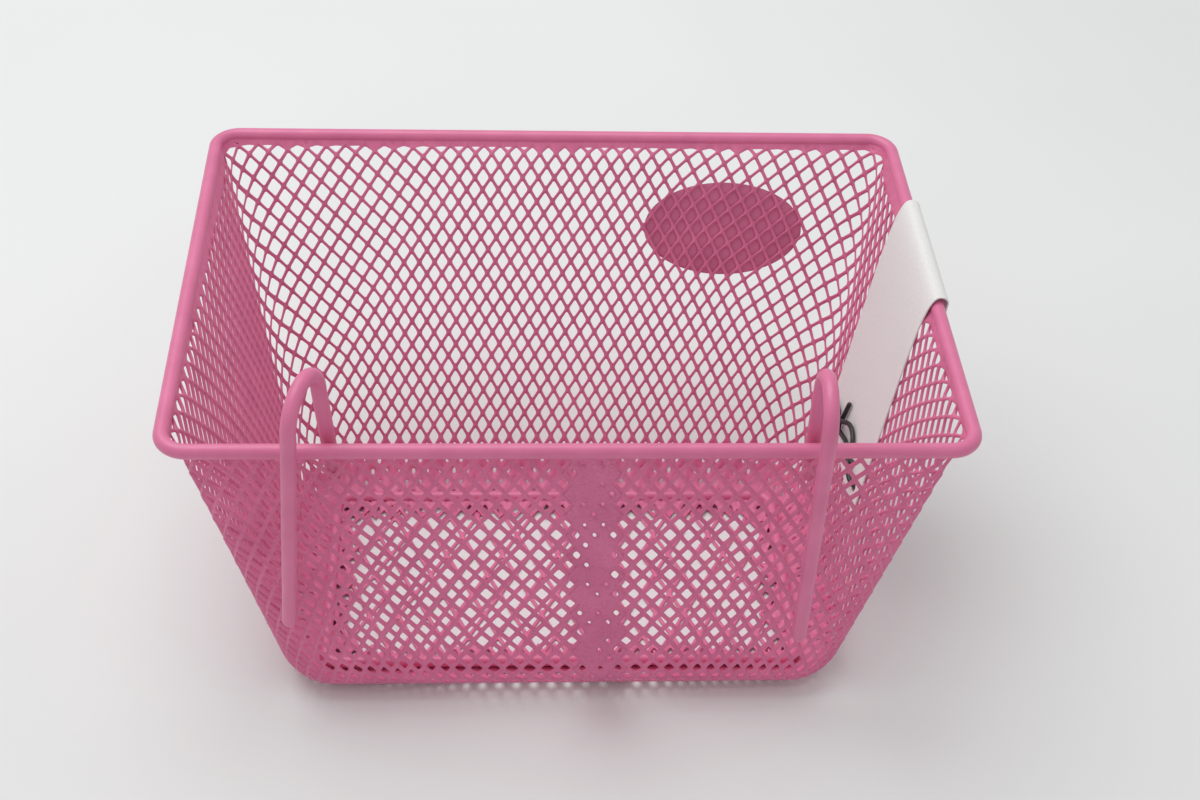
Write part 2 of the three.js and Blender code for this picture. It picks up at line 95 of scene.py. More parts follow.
DROOP_BOW = 0.25  # share of an end wall's droop that builds up over the whole wall
EDGE_ABOVE_RIM = 1.2  # the sheet ends this far above the rod's centre line
RIM_BAND = 3.8  # plain band along the sheet's upper edge
SIDE_RIM_BANDS = (8, 2.5)  # at a side wall's far and near corners
RIM_LIFT = 1.7  # the band leans out into the rod's coating
RIM_LIFT_DEPTH = 6
FOOT_BAND = 1.6  # plain band along its lower edge
FOOT_ZONE = 14  # strands broaden below this height
FAR_FOOT_ZONE = 19  # and below this one on the far wall
FOOT_RAMP = 6  # they do so over this much of it
FOOT_STRAND_WIDTH = 3.0
FAR_FOOT_STRAND_WIDTH = 3.6
EDGE_SOFTNESS = 1.1  # of the openings' ends at those bands
SMALLEST_OPENING = 1.0  # the coating closes those that are narrower
LEAST_SPACING = 1.0  # between the middles of two strands
DIMPLE = 0.5  # depth left in the middle of a closed opening, as a share of its strands'
FIRST_ROW = -6  # of the rows that can reach the sheet
LAST_ROW = 35
LEAST_ROW_SHARE = 0.004  # a cell that reaches less far onto the sheet is left out
SHARP_CUT = math.radians(80)  # an edge that turns more than this is shaded as a cut one

# Lap of the sheet's two ends on the near wall, where the coating has closed most openings
LAP_FIRST = 117  # columns
LAP_LAST = 121
LAP_DEPTH = 1.2
LAP_SINK = 0.3  # at the foot, where the sheet folds
LAP_STRAND_WIDTHS = (4.1, 4.8)
LAP_EDGE_WIDTHS = (3.0, 4.4)  # in its first and last columns
LAP_SIDE_WIDTH = 2.4  # of the wall's strands next to it
LAP_FADE = 2  # columns
LAP_FILLED_SHARE = 0.25
LAP_SEED = 11

# Floor panel, of a wider mesh, and the wall's flange that lies on its border
FLOOR_STEP = 6.35
FLOOR_ROW = 12.44
FLOOR_SLIP = 0.092  # columns in each row
FLOOR_SHIFT = (-0.3, -3.7)  # of a diamond's middle from the panel's
FLOOR_STRAND_WIDTH = 1.7
FLANGE_STEP = 3.62
FLANGE_ROW = 5.6
FLANGE_WIDTH = 10
FLANGE_STRAND_WIDTH = 3.2
FLANGE_DEPTH = 0.9
FLANGE_HEIGHT = 1.2
FLANGE_RISE = 2.0  # into the coating round the ring
FLANGE_FLAT_FROM = 8  # from the panel's edge
FLANGE_SLOPE = 5  # width of its slope
NET_OVERHANG = 0.8  # of a cell, past the panel's edge

# Card and tie. Places on the right wall are the distance along the rim and down the wall
TAG_WIDTH = 71
TAG_THICKNESS = 0.6
TAG_Y = 16  # of its middle, on the rim
TAG_SKEW = math.tan(math.radians(14.6))  # sideways run for each millimetre of its length
TAG_LIP = 16
TAG_RADIUS = 5.3  # round the rim rod
TAG_BEND = 7  # how gently the card turns down inside
TAG_HANG = 70  # how gently it comes to lie on the wall
TAG_BELOW_TIE = 9  # from the strand that holds the tie to the card's end
TIE_STRAND = (-31.0, 87.75)
TIE_HOLES = [(-25.8, 86.0), (-36.3, 89.5)]
TIE_HOLE_DIAMETER = 4.5
TIE_DIAMETER = 2.2
TIE_REACH = 47  # along the wall, from the strand that it goes round to its longer end
TIE_RISE = 13  # up the wall, from that strand to its shorter end


class WallSection:
    """One wall's section: its distance out and its height, by the share v of the way down."""

    def __init__(self, top, foot):
        self.top = top
        self.foot = foot
        self.lean = math.atan2(top - foot, RIM_HEIGHT)
        self.setback = FOLD_RADIUS * math.tan(math.pi / 4 - self.lean / 2)
        self.straight = RIM_HEIGHT / math.cos(self.lean) - self.setback
        self.length = self.straight + FOLD_RADIUS * (math.pi / 2 - self.lean)
        self.fold_start = self.straight / self.length

    def at(self, v):
        along = v * self.length
        turn = self.lean + np.maximum(along - self.straight, 0) / FOLD_RADIUS
        folded_out = self.foot - self.setback + FOLD_RADIUS * np.cos(turn)
        folded_z = FOLD_RADIUS * (1 - np.sin(turn))
        flat = along <= self.straight
        out = np.where(flat, self.top - along * math.sin(self.lean), folded_out)
        z = np.where(flat, RIM_HEIGHT - along * math.cos(self.lean), folded_z)
        return out, z

    def corner_at(self, v):
        """Middle of the upright corner's arc, which stays put once the fold begins."""
        share = np.minimum(v / self.fold_start, 1)
        out, _ = self.at(share * self.fold_start)
        return out - (CORNER_RADIUS_TOP + share * (CORNER_RADIUS_FOOT - CORNER_RADIUS_TOP))


inside_rim = RIM_ROD_DIAMETER / 2 + ROD_GAP
near_top = RIM_DEPTH / 2 - inside_rim
near_foot = near_top + NEAR_WALL_FLARE
near = WallSection(near_top, near_foot)
far = WallSection(near_top, FLOOR_DEPTH - near_foot)
side = WallSection(RIM_WIDTH / 2 - inside_rim, FLOOR_WIDTH / 2)
near_edge = float(near.at(1.0)[0])
far_edge = float(far.at(1.0)[0])
side_edge = float(side.at(1.0)[0])
floor_middle_y = (far_edge - near_edge) / 2


def to_part(points):
    return (np.asarray(points, float) - [0, floor_middle_y, 0]) * MM


def ramp(value):
    """0 well below 0, 1 at 1, and rounded where it starts."""
    rounding = 0.01
    return (value + np.sqrt(value**2 + rounding)) / (1 + math.sqrt(1 + rounding))


def smooth(value):
    value = np.clip(value, 0, 1)
    return value * value * (3 - 2 * value)


def add_piece(name, points, faces, material, slot, nodes):
    mesh = bpy.data.meshes.new(name)
    mesh.from_pydata(to_part(points).tolist(), [], faces)
    mesh.polygons.foreach_set("use_smooth", [True] * len(mesh.polygons))
    mesh.materials.append(material)
    mesh.update()
    piece = bpy.data.objects.new(name, mesh)
    bpy.context.scene.collection.objects.link(piece)
    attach(piece, "root")
    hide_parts(*nodes)
    return piece


class CornerArc:
    """The rounded corner between a side wall and an end wall, at the share v of the way down."""

    def __init__(self, section, v):
        side_out, self.side_z = side.at(v)
        end_out, self.end_z = section.at(v)
        self.middle_x = side.corner_at(v)
        self.middle_y = section.corner_at(v)
        self.radius_x = side_out - self.middle_x
        self.radius_y = end_out - self.middle_y
        self.length = np.pi / 2 * np.sqrt((self.radius_x**2 + self.radius_y**2) / 2)


def end_wall_point(section, facing, across, v):
    arc = CornerArc(section, v)
    past = np.maximum(np.abs(across) - arc.middle_x, 0)
    turn = np.pi / 2 * (1 - past / arc.length)
    flat = np.minimum(np.abs(across), arc.middle_x)
    x = np.sign(across) * (flat + arc.radius_x * np.cos(turn))
    y = facing * (arc.middle_y + arc.radius_y * np.sin(turn))
    z = arc.side_z + (arc.end_z - arc.side_z) * np.sin(turn) ** 2
    return np.stack([x, y, z], axis=-1)


def side_wall_point(share, v):
    far_arc = CornerArc(far, v)
    near_arc = CornerArc(near, v)
    flat = far_arc.middle_y + near_arc.middle_y
    along = share * (far_arc.length / 2 + flat + near_arc.length / 2) - far_arc.length / 2
    far_turn = np.pi / 2 * np.maximum(-along, 0) / far_arc.length
    near_turn = np.pi / 2 * np.maximum(along - flat, 0) / near_arc.length
    x = far_arc.middle_x + far_arc.radius_x * np.cos(far_turn + near_turn)
    y = far_arc.middle_y - np.clip(along, 0, flat)
    y = y + far_arc.radius_y * np.sin(far_turn) - near_arc.radius_y * np.sin(near_turn)
    z = far_arc.side_z + (far_arc.end_z - far_arc.side_z) * np.sin(far_turn) ** 2
    z = z + (near_arc.end_z - near_arc.side_z) * np.sin(near_turn) ** 2
    return np.stack([x, y, z], axis=-1)


class EndLayout:
    """How the sheet's columns and rows lie on an end wall. It is even in the middle, and stretched
    towards the corners. Rows are dropped by different amounts in the middle and at a corner."""

    def __init__(self, section, columns, step, step_loss, stretch_from, stretch_slope, rows, drops):
        self.section = section
        self.columns = columns  # from the middle to the corner
        self.step = step  # in the middle, at the rim
        self.step_loss = step_loss  # for each millimetre down
        self.stretch_from = stretch_from  # columns from the middle, at the rim
        self.stretch_slope = stretch_slope  # columns that this moves out for each millimetre down
        self.row, self.corner_row = rows
        self.drop, self.corner_drop = drops

    def stretch_share(self, column, down):
        """0 where the sheet is even, and 1 at the corner."""
        start = np.minimum(self.stretch_from + self.stretch_slope * down, STRETCH_LIMIT)
        return ramp((np.abs(column) - start) / (self.columns - start))

    def place(self, column, v):
        """Distance along the wall from its middle, and on round the corner."""
        arc = CornerArc(self.section, v)
        down = v * self.section.length
        step = self.step - self.step_loss * down
        stretch = arc.middle_x + arc.length / 2 - self.columns * step
        return np.sign(column) * (np.abs(column) * step + stretch * self.stretch_share(column, down))

    def corner_share(self, n):
        return (self.corner_row * n + self.corner_drop) / self.section.length

    def share_down(self, column, n):
        bow = (column / self.columns) ** 2
        close = DROOP_BOW * bow + (1 - DROOP_BOW) * self.stretch_share(column, self.row * n)
        middle = (self.row * n + self.drop) / self.section.length
        return middle + (self.corner_share(n) - middle) * close


def near_layout(drops):
    """Half of the near wall, whose two halves are dropped by different amounts."""
    return EndLayout(
        near, columns=38.2, step=3.75, step_loss=0, stretch_from=12, stretch_slope=0,
        rows=(5.4, 5.2), drops=drops,
    )


far_sheet = EndLayout(
    far, columns=35.6, step=3.7, step_loss=0.0032, stretch_from=12.2, stretch_slope=0.171,
    rows=(5.55, 5.3), drops=(0, 13.5),
)
near_right_sheet = near_layout(drops=(8.8, 15))
near_left_sheet = near_layout(drops=(19.6, 12.5))
NEAR_MIDDLE = far_sheet.columns + SIDE_COLUMNS + near_right_sheet.columns  # columns
AROUND = 2 * round(NEAR_MIDDLE)


def along_side(column):
    """Share of the way along a side wall, below 0 on the far wall and above 1 on the near wall."""
    return (np.abs(column) - far_sheet.columns) / SIDE_COLUMNS


def on_side_wall(column):
    """1 on the side walls and 0 on the end walls, with a soft change near the corners."""
    along = along_side(column)
    return smooth(along / SIDE_FADE) * smooth((1 - along) / SIDE_FADE)


def sheet_point(column, v):
    """A point of the wall's sheet, by its column from the far wall's middle and its share down."""
    along = along_side(column)
    far_point = end_wall_point(far, 1, far_sheet.place(np.abs(column), v), v)
    side_point = side_wall_point(np.clip(along, 0, 1), v)
    near_place = near_right_sheet.place(NEAR_MIDDLE - np.abs(column), v)
    near_point = end_wall_point(near, -1, near_place, v)
    on_far = (along < 0)[..., None]
    on_near = (along > 1)[..., None]
    point = np.where(on_far, far_point, np.where(on_near, near_point, side_point))
    point[..., 0] *= np.where(column < 0, -1, 1)
    return point


def share_down(column, n):
    """Share of the way down the sheet of row n."""
    along = along_side(column)
    share = np.clip(along, 0, 1)
    to_far = np.maximum(1 - share / SIDE_CREST, 0) ** SIDE_BOW
    to_near = np.maximum(1 - (1 - share) / (1 - SIDE_CREST), 0) ** SIDE_BOW
    crest = SIDE_ROW * n / side.length
    left = column < 0
    near_corner = np.where(left, near_left_sheet.corner_share(n), near_right_sheet.corner_share(n))
    on_side = crest + (far_sheet.corner_share(n) - crest) * to_far + (near_corner - crest) * to_near
    from_near = NEAR_MIDDLE - np.abs(column)
    near_left = near_left_sheet.share_down(from_near, n)
    near_right = near_right_sheet.share_down(from_near, n)
    on_near = np.where(left, near_left, near_right)
    on_far = far_sheet.share_down(column, n)
    return np.where(along < 0, on_far, np.where(along > 1, on_near, on_side))


def soft_limits(value, low, high, softness):
    """The value, held between two limits that it comes up to gently."""
    value = low + softness * np.logaddexp(0, (value - low) / softness)
    return high - softness * np.logaddexp(0, (high - value) / softness)


def wall_surface(m, n, inset):
    """Middle of the sheet and its outward direction. inset is 0 on the sheet's own edge and 1 on
    the edge of an opening, which stays clear of the plain bands along the sheet's ends."""
    column = m - SHEAR * n
    side_band = np.interp(along_side(column), (0, 1), SIDE_RIM_BANDS)
    band = RIM_BAND + (side_band - RIM_BAND) * on_side_wall(column)
    top = (band * inset - EDGE_ABOVE_RIM) / side.length
    foot = 1 - FOOT_BAND * inset / side.length
    v = share_down(column, n)
    if inset > 0:
        v = soft_limits(v, top, foot, EDGE_SOFTNESS / side.length)
    else:
        v = np.clip(v, top, foot)
    step = 1e-4
    point = sheet_point(column, v)
    along = sheet_point(column + step, v) - sheet_point(column - step, v)
    down = sheet_point(column, v + step) - sheet_point(column, v - step)
    outward = np.cross(along, down)
    outward /= np.linalg.norm(outward, axis=-1, keepdims=True)
    lift = RIM_LIFT * smooth(1 - v * side.length / RIM_LIFT_DEPTH) - SHEET_SOLID / 2
    return point + outward * lift[..., None], outward


def lap_surface(m, n, inset):
    """The lap lies level with the wall, and sinks in where the sheet folds."""
    point, outward = wall_surface(m, n, inset)
    folded = 1 - smooth(point[..., 2:] / FOLD_RADIUS)
    return point - outward * LAP_SINK * folded, outward


# An opening has three points in each corner, and they run round the diamond's four knots in turn.
# The ridge of the strands round it has its points at the knots and at thirds of the strands.
TIP = 1 - math.sqrt(0.5)
KNOTS = [(0, 0), (1, 0), (1, 1), (0, 1)]
INWARD = [(1, 1), (-1, 1), (-1, -1), (1, -1)]
BENDS = [[(0, 1), (1, 0)], [(1, 0), (0, 1)], [(0, 1), (1, 0)], [(1, 0), (0, 1)]]
CORNER_POINTS = 3
RING = CORNER_POINTS * len(KNOTS)
RIDGE_PARTS = 3
knot = np.repeat(np.array(KNOTS, float), CORNER_POINTS, axis=0)
inward = np.repeat(np.array(INWARD, float), CORNER_POINTS, axis=0)
bend = np.array([p for first, last in BENDS for p in (first, (TIP, TIP), last)], float)
part = np.array([p for first, last in BENDS for p in (first, (0, 0), last)], float) / RIDGE_PARTS


def strand_spacing(corners):
    """Distances between the opposite strands of diamonds, given by their four knots."""
    first = (corners[:, 1] - corners[:, 0] + corners[:, 2] - corners[:, 3]) / 2
    second = (corners[:, 3] - corners[:, 0] + corners[:, 2] - corners[:, 1]) / 2
    area = np.linalg.norm(np.cross(first, second), axis=-1)
    lengths = np.stack([np.linalg.norm(second, axis=-1), np.linalg.norm(first, axis=-1)], axis=-1)
    return np.maximum(area[:, None] / lengths, LEAST_SPACING)


def band_faces(rings):
    """Faces that join each ring of points to the next."""
    faces = []
    for a, b in zip(rings, rings[1:]):
        for k in range(len(a)):
            j = (k + 1) % len(a)
            faces.append((a[k], b[k], b[j], a[j]))
    return faces


def expanded_mesh(cells, surface, depth, widths, tilts, filled=False):
    """Points and faces of closed strands round the openings of cells, given by their middles.
    depth is a function of the column and row. Cells that are filled have no opening."""
    middle = np.array(cells, float)
    half_width = np.asarray(widths, float) / 2
    tilts = np.asarray(tilts, float)

    def lattice(st):
        """Columns and rows of places st in each diamond."""
        m = middle[:, None, 0] - 1 + st[..., 0] + st[..., 1]
        n = middle[:, None, 1] + st[..., 0] - st[..., 1]
        return m, n

    corners, _ = surface(*lattice(np.broadcast_to(KNOTS, (len(middle), len(KNOTS), 2))), 0)
    spacing = strand_spacing(corners)

    edge = np.broadcast_to(knot + inward * part, (len(middle), RING, 2))
    edge_m, edge_n = lattice(edge)
    keys = np.rint(np.stack([edge_m, edge_n], axis=-1) * RIDGE_PARTS).astype(int)
    unique, index = np.unique(keys.reshape(-1, 2), axis=0, return_inverse=True)
    index = index.reshape(len(middle), RING)
    ridge_m, ridge_n = unique.T / RIDGE_PARTS
    ridge, outward = surface(ridge_m, ridge_n, 0)
    rise = outward * depth(ridge_m, ridge_n)[:, None] / 2
    points = [ridge + rise, ridge - rise]
    count = len(unique)

    def opening(inset, rise):
        """Points of each opening's outline. inset is 1 on its edge and less up the strand's side."""
        share = 1 - (1 - inset) * np.minimum(1, EDGE_ROUND / half_width)
        margin = (half_width * share)[:, None] / spacing
        radius = (OPENING_BEND + half_width * (1 - share))[:, None] / spacing
        radius = np.minimum(radius, 0.5 - margin)
        m, n = lattice(knot + inward * (margin[:, None] + radius[:, None] * bend))
        place, normal = surface(m, n, inset)
        away = np.stack([m - middle[:, None, 0], middle[:, None, 1] - n], axis=-1)
        turned = tilts[:, None] * np.clip(away / TILT_SPAN, -1, 1)
        offset = rise * depth(m, n) / 2 + inset * turned.sum(axis=-1)
        return place + normal * offset[..., None]

    slope = math.sqrt(0.5)
    brink = opening(1.0, 0.0)
    outlines = [opening(slope, slope), brink, opening(slope, -slope)]
    sizes = np.sort(np.ptp(brink, axis=1), axis=-1)
    solid = np.asarray(filled) | (sizes[:, 1] < SMALLEST_OPENING)
    centre, away = surface(middle[:, 0], middle[:, 1], 0)
    away = away * depth(middle[:, 0], middle[:, 1])[:, None] / 2
    plug = np.stack([centre + away * DIMPLE, centre - away * DIMPLE], axis=1)

    faces = []
    base = 2 * count
    uses = {}
    for c in range(len(middle)):
        ridge_out = index[c].tolist()
        ridge_in = [i + count for i in ridge_out]
        if solid[c]:
            points.append(plug[c])
            for k in range(RING):
                j = (k + 1) % RING
                faces.append((ridge_out[k], base, ridge_out[j]))
                faces.append((ridge_in[k], ridge_in[j], base + 1))
            base += 2
        else:
            points.append(np.concatenate([outline[c] for outline in outlines]))
            sides = [[base + r * RING + k for k in range(RING)] for r in range(len(outlines))]
            faces += band_faces([ridge_out, *sides, ridge_in])
            base += len(outlines) * RING
        for k in range(RING):
            pair = (ridge_out[k], ridge_out[(k + 1) % RING])
            key = (min(pair), max(pair))
            uses[key] = None if key in uses else pair
    # A stretch of ridge that only one cell has lies on the net's border, and is closed there
    for a, b in filter(None, uses.values()):
        faces.append((a, b, b + count, a + count))
    return np.concatenate(points), faces


def even_depth(value):
    """The same depth everywhere, as expanded_mesh takes it."""
    return lambda m, n: np.full(np.shape(m), float(value))


def sheet_cells(first, last):
    """Middles of the diamonds between two columns that lie on the sheet."""
    top = -EDGE_ABOVE_RIM / side.length
    cells = []
    for m in range(first, last + 1):
        for n in range(FIRST_ROW, LAST_ROW + 1):
            if (m + n) % 2:
                continue
            rows = np.array([n - 1.0, n + 1.0])
            upper, lower = share_down(m - SHEAR * rows, rows)
            if lower > top + LEAST_ROW_SHARE and upper < 1 - LEAST_ROW_SHARE:
                cells.append((m, n))
    return cells


# Finishes
PINKS = [(0.63, 0.14, 0.285), (0.72, 0.175, 0.335)]
CARD_WHITES = [(0.74, 0.73, 0.72), (0.8, 0.79, 0.78)]
TIE_BLACKS = [(0.012, 0.012, 0.013), (0.03, 0.03, 0.031)]
FLOOR_WHITES = [(0.745, 0.755, 0.75), (0.775, 0.785, 0.78)]
NOISE_LOW = 0.3  # most of a noise texture's values lie between these
NOISE_HIGH = 0.7
GLOSS_SPREAD = 0.12
CARD_ROUGHNESS = (0.7, 0.85)
TIE_ROUGHNESS = (0.38, 0.55)
FLOOR_ROUGHNESS = 0.75
FLOOR_SPECULAR = 0.2


def new_material(name):
    material = bpy.data.materials.new(name)
    material.use_nodes = True
    nodes = material.node_tree.nodes
    shader = nodes["Principled BSDF"]
    return material, nodes, material.node_tree.links, shader


def noise(nodes, links, scale, detail):
    coordinates = nodes.new("ShaderNodeTexCoord")
    texture = nodes.new("ShaderNodeTexNoise")
    texture.inputs["Scale"].default_value = scale
    texture.inputs["Detail"].default_value = detail
    links.new(coordinates.outputs["Object"], texture.inputs["Vector"])
    return texture.outputs["Fac"]


def colour_between(nodes, links, factor, low, high):
    mix = nodes.new("ShaderNodeMix")
    mix.data_type = "RGBA"
    mix.inputs["A"].default_value = (*low, 1)
    mix.inputs["B"].default_value = (*high, 1)
    links.new(factor, mix.inputs["Factor"])
    return mix.outputs["Result"]


def value_between(nodes, links, factor, low, high):
    span = nodes.new("ShaderNodeMapRange")
    span.inputs["From Min"].default_value = NOISE_LOW
    span.inputs["From Max"].default_value = NOISE_HIGH
    span.inputs["To Min"].default_value = low
    span.inputs["To Max"].default_value = high
    links.new(factor, span.inputs["Value"])
    return span.outputs["Result"]


def bump(nodes, links, shader, height, strength, distance):
    node = nodes.new("ShaderNodeBump")
    node.inputs["Strength"].default_value = strength
    node.inputs["Distance"].default_value = distance
    links.new(height, node.inputs["Height"])
    links.new(node.outputs["Normal"], shader.inputs["Normal"])


def coating_material(name, peel_scale, peel, dullest, specular, painted_shade_tone=1.0, peel_depth=0.0004):
    """Powder coat: an even pink with faint clouds, a soft sheen and a fine orange peel. A tone below 1
    darkens the whole pink as painted shade.
    """
    material, nodes, links, shader = new_material(name)
    clouds = value_between(nodes, links, noise(nodes, links, scale=55, detail=4), 0, 1)
    low, high = ([painted_shade_tone * channel for channel in pink] for pink in PINKS)
    links.new(colour_between(nodes, links, clouds, low, high), shader.inputs["Base Color"])
    grain = noise(nodes, links, scale=140, detail=3)
    gloss = value_between(nodes, links, grain, dullest - GLOSS_SPREAD, dullest)
    links.new(gloss, shader.inputs["Roughness"])
    bump(nodes, links, shader, noise(nodes, links, peel_scale, detail=2), peel, peel_depth)
    shader.inputs["Specular IOR Level"].default_value = specular
    return material


def card_material():
    """Uncoated card: off-white with faint fibres."""
    material, nodes, links, shader = new_material("card_paper")
    fibres = value_between(nodes, links, noise(nodes, links, scale=900, detail=6), 0, 1)
    colour = colour_between(nodes, links, fibres, *CARD_WHITES)
    links.new(colour, shader.inputs["Base Color"])
    links.new(value_between(nodes, links, fibres, *CARD_ROUGHNESS), shader.inputs["Roughness"])
    grain = noise(nodes, links, scale=2500, detail=4)
    bump(nodes, links, shader, grain, strength=0.12, distance=0.0002)
    return material


def tie_material():
    """Black plastic with a dull, slightly uneven skin."""
    material, nodes, links, shader = new_material("tie_plastic")
    clouds = value_between(nodes, links, noise(nodes, links, scale=260, detail=3), 0, 1)
    colour = colour_between(nodes, links, clouds, *TIE_BLACKS)
    links.new(colour, shader.inputs["Base Color"])
    links.new(value_between(nodes, links, clouds, *TIE_ROUGHNESS), shader.inputs["Roughness"])
    grain = noise(nodes, links, scale=1800, detail=2)
    bump(nodes, links, shader, grain, strength=0.15, distance=0.0002)
    return material


mesh_coat = coating_material("mesh_coat", peel_scale=1400, peel=0.18, dullest=0.52, specular=0.45)
rod_coat = coating_material("rod_coat", peel_scale=900, peel=0.12, dullest=0.45, specular=0.6)
lap_coat = coating_material(
    "lap_coat", peel_scale=480, peel=1.0, dullest=0.52, specular=0.45, peel_depth=0.0015
)
# The plate's pink is darkened by a tone of 0.88 as painted shade, for the shadow that the far wall's
# mesh casts on it
plate_coat_painted_shade = coating_material(
    "plate_coat_painted_shade", peel_scale=700, peel=0.12, dullest=0.52, specular=0.45, painted_shade_tone=0.88
)
paper = card_material()
plastic = tie_material()


# Walls and floor
FAR_LAST = 32  # the far wall's own piece has this many columns on each side of its middle
SIDE_LAST = 86  # and a side wall's piece has those from there to this one
dice = random.Random(LAP_SEED)


def wall_depth(m, n):
    return STRAND_DEPTH + (SIDE_STRAND_DEPTH - STRAND_DEPTH) * on_side_wall(m - SHEAR * n)


def strand_form(cells):
    """Width of the strands round each opening, and how far their edges lean along and down the
    sheet. They are broad and flat at the foot."""
    m, n = np.array(cells, float).T
    column = m - SHEAR * n
    v = np.clip(share_down(column, n), 0, 1)
    on_far = smooth(-along_side(column) / SIDE_FADE)
    zone = FOOT_ZONE + (FAR_FOOT_ZONE - FOOT_ZONE) * on_far
    foot = smooth((zone - sheet_point(column, v)[:, 2]) / FOOT_RAMP)
    broad = FOOT_STRAND_WIDTH + (FAR_FOOT_STRAND_WIDTH - FOOT_STRAND_WIDTH) * on_far
    from_lap = np.where(m > 0, LAP_FIRST - m, m + AROUND - LAP_LAST)
    by_lap = (LAP_SIDE_WIDTH - STRAND_WIDTH) * smooth((LAP_FADE + 1 - from_lap) / LAP_FADE)
    width = STRAND_WIDTH + np.maximum((broad - STRAND_WIDTH) * foot, by_lap)
    free = (1 - foot) * smooth(v * side.length / RIM_LIFT_DEPTH)
    on_side = on_side_wall(column)
    lean = STRAND_LEAN * free * on_side
    tilt = STRAND_TILT * free * (1 - on_side)
    return width, np.stack([lean, tilt], axis=-1)


def net_piece(name, net, material, nodes):
    """A piece of mesh that is shaded smooth, apart from its cut edges."""
    piece = add_piece(name, *net, material, "coating", nodes)
    piece.data.set_sharp_from_angle(angle=SHARP_CUT)


def wall_piece(name, cells, nodes):
    width, tilts = strand_form(cells)
    net = expanded_mesh(cells, wall_surface, wall_depth, width, tilts)
    net_piece(name, net, mesh_coat, nodes)


def lap_piece(cells):
    ends = (LAP_FIRST, LAP_LAST)
    width = [dice.uniform(*(LAP_EDGE_WIDTHS if m in ends else LAP_STRAND_WIDTHS)) for m, _ in cells]
    flat = np.zeros((len(cells), 2))
    filled = [dice.random() < LAP_FILLED_SHARE for _ in cells]
    net = expanded_mesh(cells, lap_surface, even_depth(LAP_DEPTH), width, flat, filled)
    net_piece("wall_lap", net, lap_coat, ["wall_seam"])


wall_piece("far_wall", sheet_cells(-FAR_LAST, FAR_LAST), ["far_wall_mesh"])
wall_piece(
    "right_wall",
    sheet_cells(FAR_LAST + 1, SIDE_LAST),
    ["right_wall_mesh", "far_right_corner_mesh", "near_right_corner_mesh"],
)
wall_piece(
    "left_wall",
    sheet_cells(-SIDE_LAST, -FAR_LAST - 1),
    ["left_wall_mesh", "far_left_corner_mesh", "near_left_corner_mesh"],
)
near_right = sheet_cells(SIDE_LAST + 1, LAP_FIRST - 1)
near_left = sheet_cells(LAP_LAST + 1 - AROUND, -SIDE_LAST - 1)
wall_piece("near_wall", near_right + near_left, ["near_wall_mesh"])
lap_piece(sheet_cells(LAP_FIRST, LAP_LAST))


def flat_net(name, step, row, slip, shift, width, depth, height, keep):
    """A net on the floor. Its height, and which cells it keeps, go by the distance from its edge."""
    half_x = side_edge - ROD_GAP
    half_y = (near_edge + far_edge) / 2 - ROD_GAP

    def place(m, n):
        return (m - slip * n) * step + shift[0], n * row + shift[1]

    def surface(m, n, inset):
        x, y = place(m, n)
        band = FOOT_BAND * inset
        if inset > 0:
            x = soft_limits(x, band - half_x, half_x - band, EDGE_SOFTNESS)
            y = soft_limits(y, band - half_y, half_y - band, EDGE_SOFTNESS)
        else:
            x = np.clip(x, -half_x, half_x)
            y = np.clip(y, -half_y, half_y)
        z = height(np.minimum(half_x - np.abs(x), half_y - np.abs(y)))
        pull = FLOOR_CORNER_PULL * np.abs(x / half_x * y / half_y) ** FLOOR_CORNER_SHARPNESS
        x = x - np.sign(x) * pull
        y = y - np.sign(y) * pull
        point = np.stack([x, floor_middle_y - y, z], axis=-1)
        return point, np.broadcast_to([0.0, 0.0, -1.0], point.shape)

    rows = math.ceil(half_y / row) + 1
    columns = math.ceil(half_x / step + slip * rows) + 1
    cells = []
    for m in range(-columns, columns + 1):
        for n in range(-rows, rows + 1):
            x, y = place(m, n)
            to_side = half_x - abs(x)
            to_end = half_y - abs(y)
            on_panel = to_side > -NET_OVERHANG * step and to_end > -NET_OVERHANG * row
            if (m + n) % 2 == 0 and on_panel and keep(min(to_side, to_end)):
                cells.append((m, n))
    widths = [width] * len(cells)
    flat = np.zeros((len(cells), 2))
    net = expanded_mesh(cells, surface, even_depth(depth), widths, flat)
    net_piece(name, net, mesh_coat, ["floor_mesh"])


def flange_height(inside):
    """The flange's height, by the distance from the floor panel's edge."""
    return FLANGE_HEIGHT + FLANGE_RISE * smooth((FLANGE_FLAT_FROM - inside) / FLANGE_SLOPE)


flat_net(
    "floor_net",
    step=FLOOR_STEP,
    row=FLOOR_ROW,
    slip=FLOOR_SLIP,
    shift=FLOOR_SHIFT,
    width=FLOOR_STRAND_WIDTH,
    depth=STRAND_DEPTH,
    height=lambda inside: np.full_like(inside, STRAND_DEPTH / 2),
    keep=lambda inside: True,
)
flat_net(
    "foot_flange",
    step=FLANGE_STEP,
    row=FLANGE_ROW,
    slip=SHEAR,
    shift=(0, 0),
    width=FLANGE_STRAND_WIDTH,
    depth=FLANGE_DEPTH,
    height=flange_height,
    keep=lambda inside: inside < FLANGE_WIDTH,
)


# Rods
ROD_SIDES = 20
BEND_STEPS = 14
CAP_STEPS = 5


